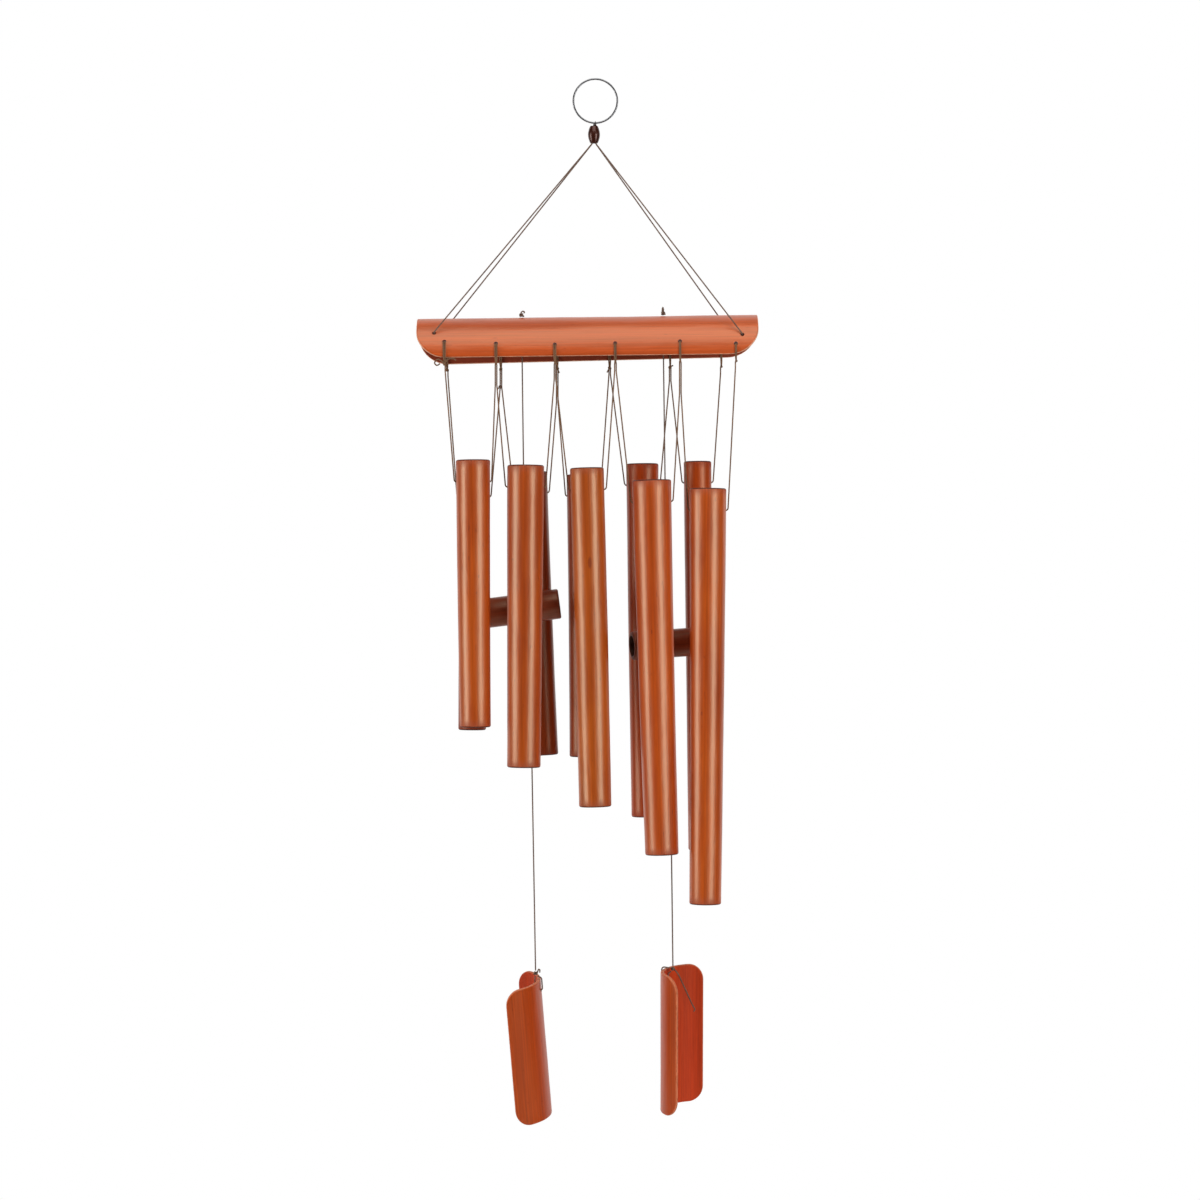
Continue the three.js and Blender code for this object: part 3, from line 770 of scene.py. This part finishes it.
def striker_frame(string):
    """A striker's frame: origin in the middle of its cross hole, X along the striker, Z up the hole."""
    bore = Matrix.Translation((string.bore[0], 0, string.bore[1]))
    return bore @ Matrix.Rotation(string.turn, 4, "Z") @ Matrix.Rotation(-string.tilt, 4, "Y")


# The loose ends and loops that stand up from the two knots on the bar, as points from each knot's middle.
TOP_KNOT_ENDS = {
    "left": [
        [(-0.5, -0.3, 1.1), (0.1, -0.5, 2.4), (1.2, -0.4, 2.8), (2.1, -0.2, 2.2), (1.9, 0, 1.4)],
        [(1.1, 0.6, -0.5), (1.9, 0.8, -1.0)],
    ],
    "right": [
        [(-0.4, 0, 1.3), (-0.5, 0.1, 2.7), (-0.1, 0.1, 4.4), (0.4, 0, 2.9), (0.4, 0, 1.3)],
        [(1.1, -0.4, -0.3), (1.9, -0.6, -0.9)],
    ],
}


def make_string_cords(name, string):
    """The cord from the bar's spine down to the striker, and the one from the striker down to the sail."""
    spine = bar_frame @ Vector((string.bar_x - BAR.x, 0, 0))
    radius = string.diameter / 2
    place = striker_frame(string)
    entry, outlet = place @ Vector((0, 0, radius + 1)), place @ Vector((0, 0, -radius))
    top_knot = spine + Vector((0, 0, TOP_KNOT_RADIUS + GAP))
    curl = 1 if name == "left" else -1
    node = f"{name}_top_knot"
    top = knot_piece(f"knot_top_{name}", top_knot, TOP_KNOT_RADIUS, node, node,
                     ends=TOP_KNOT_ENDS[name], turn=0.5 * curl)
    node = f"{name}_striker_cord"
    cord_piece(f"twine_striker_{name}", [spine, entry, outlet], node, node)

    striker_knot = place @ Vector((0, 0, -radius - STRIKER_KNOT_RADIUS - GAP))
    sail_knot = Vector((string.knot[0], 0, string.knot[1]))
    down = (sail_knot - striker_knot).normalized()
    node = f"{name}_striker_knot"
    stopper = knot_piece(f"knot_striker_{name}", striker_knot, STRIKER_KNOT_RADIUS, node, node,
                         ends=[[(1.5, -0.8, -0.6), (3.4, -1.2, -2.2)]], turn=1.1)
    start = striker_knot + down * (STRIKER_KNOT_RADIUS + GAP)
    end = sail_knot - down * (SAIL_KNOT_RADIUS + GAP)
    node = f"{name}_sail_cord"
    cord_piece(f"twine_sail_{name}", [start, end], node, node)


for hanger in HANGERS:
    make_hanger(*hanger)
for row, (side, ties, tubes) in ROWS.items():
    for i, tube in enumerate(tubes):
        make_tube_cord(row, i, side, ties, tube)
for name, string in STRINGS.items():
    make_string_cords(name, string)

# -------- ring, its turn of cord, and the bead


def make_ring():
    """The plated wire ring, closed by a butt weld that is a little thicker than the wire."""
    middle = RING.inner + RING.wire
    around, sides = 220, 20
    verts = []
    for angle in circle(around):
        out = Vector((sin(angle), 0, cos(angle)))
        gap = abs((angle - WELD_PLACE + pi) % (2 * pi) - pi) * middle
        swell = WELD_SWELL * exp(-(gap / WELD_WIDTH) ** 2) - WELD_GROOVE * exp(-(gap / GROOVE_WIDTH) ** 2)
        radius = RING.wire * (1 + swell)
        for turn in circle(sides):
            spoke = out * cos(turn) + Vector((0, 1, 0)) * sin(turn)
            verts.append(out * middle + spoke * radius)
    place = Matrix.Translation((0, 0, -RING.inner))
    faces = wrapped_faces(around, sides)
    ring = make_object("ring_wire", verts, faces, [make_chrome_material()], place=place)
    stands_for(ring, "ring", "hanging_ring")


def make_ring_loop():
    """The cord's turn round the bottom of the ring, drawn much darker than the other twine, over a small
    knot.
    """
    centre = Vector((0, 0, -2 * RING.inner - RING.wire))
    reach = RING.wire + LOOP_CORD_RADIUS
    turn = [centre + Vector((0, reach * sin(angle), -reach * cos(angle)))
            for angle in arc(2 * pi, LOOP_STEPS)]
    flat = Matrix.Diagonal(LOOP_KNOT_SQUASH)
    neck = centre + Vector((BEAD.x / 3, 0, -RING.wire - LOOP_KNOT_RADIUS * flat[2][2]))
    verts, faces = twine([turn], LOOP_CORD_RADIUS)
    knot_verts, knot_faces = twine([[neck + flat @ p for p in knot_route(Vector(), LOOP_KNOT_RADIUS)]])
    start = len(verts)
    faces += [tuple(start + k for k in face) for face in knot_faces]
    dark = make_cord_material("dark_twine", LOOP_TINT)
    loop = make_object("ring_turns", verts + knot_verts, faces, [dark])
    stands_for(loop, "ring_loop", "ring_loop")


def make_bead():
    """A turned barrel bead with softened ends and a countersunk bore."""
    height, end, middle, bore = BEAD.height, BEAD.end, BEAD.middle, BEAD.bore
    profile = []
    steps = 26
    for k in range(steps + 1):
        share = k / steps
        bulge = sin(pi * share) ** BEAD_BULGE
        profile.append((end + (middle - end) * bulge, height * (share - 1)))
    rim = BEAD_RIM
    profile += [(end - rim, rim * 0.25), (bore + 0.2, 0), (bore, -0.3), (bore, 0.3 - height),
                (bore + 0.2, -height), (end - rim, -height - rim * 0.25)]
    sides = 64
    verts = []
    for radius, z in profile:
        for angle in circle(sides):
            x, y = cos(angle), sin(angle)
            wave = 1 + BEAD_UNEVEN * noise.noise(Vector((x, y, z * 0.2)))
            verts.append(Vector((radius * wave * x, radius * wave * y, z)))
    faces = wrapped_faces(len(profile), sides)
    place = Matrix.Translation((BEAD.x, 0, BEAD.top))
    bead = make_object("barrel_bead", verts, faces, [make_bead_material()], place=place)
    stands_for(bead, "bead", "bead")


make_ring()
make_ring_loop()
make_bead()

# -------- half-round bamboo


def half_shell(radius, wall, length, half_arc, corner, seed, back_rise=(0.0, 0.0)):
    """A lengthwise half of a bamboo stem with rounded corners and rounded edges.

    It stands on end: its length is along Z, its centre line is the Z axis and its spine is towards +X.
    Returns points, faces and each face's slot: 0 the skin, 1 the cut edge, 2 the inside.
    """
    ends, edge = length / 2, radius * half_arc

    def at(along, around, depth):
        if around < 0:
            share = (along + ends) / length
            around *= 1 - (back_rise[0] * (1 - share) + back_rise[1] * share) / edge
        angle = around / radius
        wave = SHELL_WAVES[0] * noise.noise(Vector((angle * 1.3, along / 60, seed)))
        wave += SHELL_WAVES[1] * noise.noise(Vector((angle * 5, along / 18, seed + 9)))
        reach = radius + wave - depth
        return Vector((reach * cos(angle), reach * sin(angle), along))

    inset = RIM_ROUND
    curve = corner - inset
    rows = [(ends - corner + curve * sin(t), edge - corner + curve * cos(t), t)
            for t in arc(90 * DEGREE, SHELL_CORNER_STEPS)]
    straight = 2 * (ends - corner)
    count = ceil(straight / BAMBOO_ROW)
    middle = [(-straight / 2 + straight * k / count, edge - inset, 0) for k in range(1, count)]
    rows = [(-a, b, -t) for a, b, t in rows[::-1]] + middle + rows
    columns = ceil(2 * edge / SHELL_COLUMN)
    shares = [2 * j / columns - 1 for j in range(columns + 1)]

    # the shell unrolled: how far along and how far round each point is
    flat = [(along, share * half) for along, half, _ in rows for share in shares]
    verts = [at(along, around, depth) for depth in (0, wall) for along, around in flat]
    size, width = len(flat), len(shares)
    outer = grid_faces(len(rows), width, 0, flip=True)
    inner = grid_faces(len(rows), width, size)
    faces = outer + inner
    slots = [0] * len(outer) + [2] * len(inner)

    # the way round the edge, with the direction in which it faces on the unrolled shell
    border = [(i * width + width - 1, (sin(rows[i][2]), cos(rows[i][2]))) for i in range(len(rows))]
    border += [((len(rows) - 1) * width + j, (1, 0)) for j in range(width - 2, 0, -1)]
    border += [(i * width, (sin(rows[i][2]), -cos(rows[i][2]))) for i in range(len(rows) - 1, -1, -1)]
    border += [(j, (-1, 0)) for j in range(1, width - 1)]
    bands = [(inset * sin(turn), inset * (1 - cos(turn))) for turn in arc(90 * DEGREE, RIM_STEPS)[1:]]
    bands += [(reach, wall - depth) for reach, depth in bands[::-1]]
    loops = [[index for index, _ in border]]
    for reach, depth in bands:
        start = len(verts)
        for index, (up, out) in border:
            along, around = flat[index]
            verts.append(at(along + up * reach, around + out * reach, depth))
        loops.append(list(range(start, start + len(border))))
    loops.append([size + index for index, _ in border])
    for k, (one, other) in enumerate(zip(loops, loops[1:])):
        slot = 0 if k == 0 else 2 if k == len(loops) - 2 else 1
        for j in range(len(one)):
            n = (j + 1) % len(one)
            faces.append((one[j], one[n], other[n], other[j]))
            slots.append(slot)
    return verts, faces, slots


def make_bar():
    verts, faces, slots = half_shell(BAR.radius, BAR.wall, BAR.length, BAR.half_arc,
                                     BAR.corner, seed=2, back_rise=BAR_EDGE_RISE)
    # lying down: its length along X and its spine up
    lying = Matrix(((0, 0, 1, 0), (0, -1, 0, 0), (1, 0, 0, -BAR.radius), (0, 0, 0, 1)))
    materials = bamboo("bar", BAR_BAMBOO, 1, gloss=BAR_GLOSS, patchy=HALF_SHELL_PATCHES)
    bar = make_object("bamboo_bar", verts, faces, materials, slots, bar_frame @ lying)
    back = lying.inverted()
    pins = []

    def pin(x, side, angle):
        middle = back @ on_bar(x, side, angle, BAR.radius - BAR.wall / 2)
        outward = back.to_3x3() @ Vector((0, side * sin(angle), cos(angle)))
        pins.append((middle, outward, BAR_HOLE_RADIUS, 3 * BAR.wall))

    for _, x, side, angle in HANGERS:
        pin(x, side, angle)
    for side, ties, _ in ROWS.values():
        for x, angle, _ in ties:
            pin(x, side, angle * DEGREE)
    for string in STRINGS.values():
        pin(string.bar_x, 1, 0)
    drill(bar, pins)
    stands_for(bar, "bar", "top_bar")


make_bar()

# -------- ties

# Ties drawn so tight that the knot hardly shows: its radius.
SMALL_TIE_KNOTS = {("back", 6): 1.0, **{("front", i): 1.0 for i in range(1, 7)}}

# Loose ends and small loops of some ties, as points from the knot's middle.
TIE_ENDS = {
    ("front", 1): [
        [(-2.2, -0.6, 2.6), (-5.0, -0.8, 3.8), (-7.2, -0.6, 1.4), (-5.6, -0.4, -0.6), (-3.2, -0.2, 0.6)],
        [(2.5, -0.6, 3.6), (6.4, -0.8, 4.4), (8.6, -0.8, 3.0)],
    ],
    ("back", 3): [[(0.9, 0.6, -1.6), (1.5, 0.9, -3.2)]],
    ("back", 4): [[(-1.2, -0.4, -1.8), (-2.0, -0.6, -3.4)]],
    ("front", 3): [[(1.0, -0.5, -1.0), (2.1, -0.8, -2.0)]],
    ("back", 5): [[(1.1, -0.5, 1.0), (2.3, -0.8, 1.2)]],
}


def make_tie(row, i, side, x, hole):
    """Two cords side by side from the knot up the bar's face, in through the hole and back down inside."""
    outside = BAR.radius + CORD_RADIUS + GAP / 2
    inside = BAR.radius - BAR.wall - CORD_RADIUS - GAP / 2
    rim = 1.2 / BAR.radius  # the angle from the hole's middle to its rim
    knot = tie_knot(x, side)
    routes = []
    spread = TIGHT_TIES.get((row, i + 1), TIE_SPREAD)
    for across in (-spread, spread):

        def at(angle, distance):
            return on_bar(x + across, side, angle, distance)

        corners = [
            knot + Vector((across * 0.4, 0, 0)),
            at(90 * DEGREE, outside),
            at(hole + 12 * DEGREE, outside),
            at(hole + 7 * DEGREE, outside),
            at(hole + rim, outside + 0.1),
            at(hole + 0.02, BAR.radius),
            at(hole + 0.02, BAR.radius - BAR.wall),
            at(hole + rim, inside - 0.1),
            at(hole + 8 * DEGREE, inside),
            at(88 * DEGREE, inside),
            Vector((knot.x + across, side * (inside + 0.1), -BAR.radius - 2.4)),
            knot + Vector((across * 0.4, 0, 0)),
        ]
        routes.append(in_steps([bar_frame @ p for p in curved_route(corners, 4)]))
    middle = bar_frame @ knot
    turn = 0.7 * i + (2.1 if side > 0 else 0)
    routes.append(knot_route(middle, SMALL_TIE_KNOTS.get((row, i + 1), TIE_KNOT_RADIUS), turn=turn))
    routes += [loose_end(middle, points) for points in TIE_ENDS.get((row, i + 1), [])]
    tie = twine_object(f"tie_{row}_{i + 1}", routes, tan_cord_material)
    stands_for(tie, "bar", f"{row}_tie_{i + 1}")


for row, (side, ties, tubes) in ROWS.items():
    for i, (x, hole, _) in enumerate(ties):
        make_tie(row, i, side, x, hole * DEGREE)

# -------- bamboo tubes


def tube_mesh(low, high, low_radius, high_radius, bore, seed, uneven=1.0):
    """An open bamboo tube along Z, not quite round or straight, with rounded ends."""
    rim, lip = TUBE_RIM_ROUND, TUBE_LIP

    def outer(z):
        share = (z - low) / (high - low)
        return low_radius + (high_radius - low_radius) * share

    rounding = [(rim * (1 - sin(t)), rim * (1 - cos(t))) for t in arc(90 * DEGREE, TUBE_RIM_STEPS)]
    skin = TUBE_RIM_STEPS - 1  # the last of the rounding is still lacquered
    # each row is (radius, z, slot of the band that starts there)
    profile = [(outer(low) - inward, low + up, 1 if k < skin else 0)
               for k, (inward, up) in enumerate(rounding[:-1])]
    rows = ceil((high - low - 2 * rim) / BAMBOO_ROW)
    heights = [low + rim + (high - low - 2 * rim) * k / rows for k in range(rows)]
    profile += [(outer(z), z, 0) for z in heights]
    profile += [(outer(high) - rounding[k][0], high - rounding[k][1], 1 if k <= skin else 0)
                for k in range(TUBE_RIM_STEPS, -1, -1)]
    profile += [(bore + lip, high, 1), (bore + lip * 0.3, high - lip * 0.3, 2), (bore, high - lip, 2)]
    inner_rows = ceil((high - low) / (3 * BAMBOO_ROW))
    profile += [(bore, high - lip - (high - low - 2 * lip) * k / inner_rows, 2) for k in range(1, inner_rows)]
    profile += [(bore, low + lip, 2), (bore + lip * 0.3, low + lip * 0.3, 1), (bore + lip, low, 1)]

    verts = []
    bow = Vector((cos(seed * 2.4), sin(seed * 2.4), 0)) * TUBE_BOW * uneven
    for radius, z, _ in profile:
        share = (z - low) / (high - low)
        centre = bow * (4 * share * (1 - share) - 0.5)
        for angle in circle(TUBE_SIDES):
            spot = Vector((cos(angle), sin(angle), 0))
            broad = Vector((spot.x * 1.2, spot.y * 1.2, z / 70)) + Vector((seed, 0, 0))
            fine = Vector((spot.x * 3, spot.y * 3, z / 22)) + Vector((0, seed, 5))
            wave = TUBE_WAVES[0] * noise.noise(broad)
            wave += TUBE_WAVES[1] * noise.noise(fine)
            wave += TUBE_OVAL * cos(2 * angle + seed)
            verts.append(centre + spot * (radius + wave * uneven) + Vector((0, 0, z)))
    slots = [slot for _, _, slot in profile for _ in range(TUBE_SIDES)]
    return verts, wrapped_faces(len(profile), TUBE_SIDES), slots


def make_tube(row, i, side, tube):
    top, bottom, diameters = tube
    length, place = tube_place(top, bottom, side)
    low, high = TUBE_HOLE_DROP - length, TUBE_HOLE_DROP
    bore = diameters[1] / 2 - TUBE_WALL
    seed = i + (1 if side < 0 else 11)
    verts, faces, slots = tube_mesh(low, high, diameters[1] / 2, diameters[0] / 2, bore, seed)
    # For a back tube this tint is painted shade: it darkens the skin fully and the cut edge by half.
    tint = TUBE_TONES_AND_BACK_SHADE[row][i]
    skin, cut, inside = TUBE_BAMBOO
    colours = tinted(skin, tint), tuple(c * (1 + t) / 2 for c, t in zip(cut, tint)), inside
    materials = bamboo(f"{row}_{i + 1}", colours, seed, gloss=ROW_GLOSS[row],
                       scars=TUBE_SCARS.get((row, i + 1), ()), ends=(low, high))
    piece = make_object(f"bamboo_{row}_{i + 1}", verts, faces, materials, slots, place)
    drill(piece, [((0, 0, 0), (1, 0, 0), CORD_HOLE_RADIUS, 3 * diameters[0])])
    node = f"{row}_tube_{i + 1}"
    stands_for(piece, node, node)


def make_striker(name, string, seed):
    radius = string.diameter / 2
    low, high = -STRIKER_LENGTH / 2 - string.offset, STRIKER_LENGTH / 2 - string.offset
    verts, faces, slots = tube_mesh(low, high, radius, radius, radius - STRIKER_WALL, seed, 0.8)
    materials = bamboo(f"striker_{name}", STRIKER_BAMBOO, seed, gloss=STRIKER_GLOSS)
    place = striker_frame(string) @ Matrix.Rotation(90 * DEGREE, 4, "Y")
    striker = make_object(f"striker_tube_{name}", verts, faces, materials, slots, place)
    drill(striker, [((0, 0, 0), (1, 0, 0), CORD_HOLE_RADIUS, 3 * string.diameter)])
    stands_for(striker, f"{name}_striker", f"{name}_striker")


for row, (side, ties, tubes) in ROWS.items():
    for i, tube in enumerate(tubes):
        make_tube(row, i, side, tube)
for seed, (name, string) in enumerate(STRINGS.items()):
    make_striker(name, string, 31 + seed)

# -------- sails


def sail_frame(string):
    """A sail's frame: origin at its knot, X out of its round side, Z up its length."""
    knot = Matrix.Translation((string.knot[0], 0, string.knot[1]))
    over, aside = string.lean
    lean = Matrix.Rotation(over, 4, "X") @ Matrix.Rotation(aside, 4, "Y")
    return knot @ lean @ Matrix.Rotation(string.face, 4, "Z")


def make_sail(name, string, seed):
    """A sail, the loop of cord through its hole, and the knot over it with its loose tail."""
    place = sail_frame(string)
    rim_x, rim_z = string.rim
    half = SAIL.wall / 2
    verts, faces, slots = half_shell(SAIL.radius, SAIL.wall, SAIL.length, SAIL.half_arc,
                                     SAIL.corner, seed)
    shell = Matrix.Translation((rim_x + half - SAIL.radius, 0, rim_z - SAIL.length / 2))
    materials = bamboo(f"sail_{name}", SAIL_BAMBOO, seed, gloss=SAIL_GLOSS, patchy=HALF_SHELL_PATCHES)
    sail = make_object(f"bamboo_sail_{name}", verts, faces, materials, slots, place @ shell)
    hole = Vector((rim_x, 0, rim_z - SAIL_HOLE_DROP))
    drill(sail, [(shell.inverted() @ hole, Vector((1, 0, 0)), CORD_HOLE_RADIUS, 4 * SAIL.wall)])
    stands_for(sail, f"{name}_sail", f"{name}_sail")

    def leg(corners, side):
        points = [Vector((x, 0, z)) for x, z in corners]
        return points + [hole + Vector((side * (half + STANDOFF), 0, 0))]

    corners = leg(string.outer, 1) + leg(string.inner, -1)[::-1]
    loop = twine_object(f"sail_loop_{name}", [in_steps([place @ p for p in rounded_route(corners)])])
    stands_for(loop, f"{name}_sail", f"{name}_sail_loop")

    knot = Vector((string.knot[0], 0, string.knot[1]))
    routes = [knot_route(knot, SAIL_KNOT_RADIUS + 0.1, turn=seed), loose_end(knot, string.tail, 8)]
    knot_and_tail = twine_object(f"knot_sail_{name}", routes)
    stands_for(knot_and_tail, f"{name}_sail_knot", f"{name}_sail_knot")


for seed, (name, string) in enumerate(STRINGS.items()):
    make_sail(name, string, 41 + seed)

# -------- floor and light

FLOOR_DROP = 220  # below the lowest sail
FLOOR_RADIUS = 800
FLOOR_SIDES = 160
FLOOR_THICKNESS = 20
ROOM_GLOW = 0.02
BACKGROUND_GLOW = 1.0
BACKGROUND_FADE = (0.28, 0.62)  # the backward share of a direction where the background starts and is full
# Each light's name, place, the point it faces, (width, height), all in metres, and watts.
LIGHTS = [
    ("left_box", (-1.47, -0.63, -0.32), (0, 0, -0.36), (0.70, 1.15), 16),
    ("right_box", (1.11, -1.15, -0.32), (0, 0, -0.36), (0.70, 1.15), 16),
    ("top_box", (0.0, -0.66, 0.96), (0, 0, -0.2), (1.3, 1.4), 14),
]


def make_floor():
    material, tree = new_material("pale_floor")
    tone = ramp(tree, surface_noise(tree, (6, 6, 6), 3), (0.80, 0.80, 0.79), (0.86, 0.86, 0.85))
    dress(tree, {"Base Color": tone, "Roughness": 0.8})
    sides = FLOOR_SIDES
    verts = [Vector((FLOOR_RADIUS * cos(angle), FLOOR_RADIUS * sin(angle), z))
             for z in (0, -FLOOR_THICKNESS) for angle in circle(sides)]
    faces = grid_faces(2, sides, closed=True, flip=True)
    faces += [tuple(range(sides)), tuple(range(sides, 2 * sides))[::-1]]
    low = cad_box[0].z / MM - FLOOR_DROP
    floor = make_object("floor", verts, faces, [material], place=Matrix.Translation((0, 0, low)))


def area_light(name, place, aim, size, watts):
    data = bpy.data.lights.new(name, "AREA")
    data.shape = "RECTANGLE"
    data.size, data.size_y = size
    data.energy = watts
    light = bpy.data.objects.new(name, data)
    light.location = place
    light.rotation_euler = (Vector(aim) - Vector(place)).to_track_quat("-Z", "Y").to_euler()
    bpy.context.scene.collection.objects.link(light)


def make_light():
    """A dark room with two tall soft boxes and one overhead, in front of a white background."""
    world = bpy.data.worlds.new("studio")
    bpy.context.scene.world = world
    world.use_nodes = True
    tree = world.node_tree
    direction = add(tree, "SeparateXYZ", {"Vector": add(tree, "TexCoord", {}).outputs["Generated"]})
    backward = add(tree, "MapRange", {
        "Value": direction.outputs["Y"], "From Min": BACKGROUND_FADE[0], "From Max": BACKGROUND_FADE[1],
        "To Min": ROOM_GLOW, "To Max": BACKGROUND_GLOW,
    })
    lit = tree.nodes["Background"]
    fill(tree, lit, {"Color": (1, 1, 1), "Strength": backward.outputs["Result"]})
    seen = add(tree, "Background", {"Color": (1, 1, 1)})
    mix = add(tree, "MixShader", {
        0: add(tree, "LightPath", {}).outputs["Is Camera Ray"],
        1: lit.outputs["Background"],
        2: seen.outputs["Background"],
    })
    fill(tree, tree.nodes["World Output"], {"Surface": mix.outputs["Shader"]})
    for light in LIGHTS:
        area_light(*light)
    view = bpy.context.scene.view_settings
    view.view_transform = "Standard"
    view.look = "None"


make_floor()
make_light()
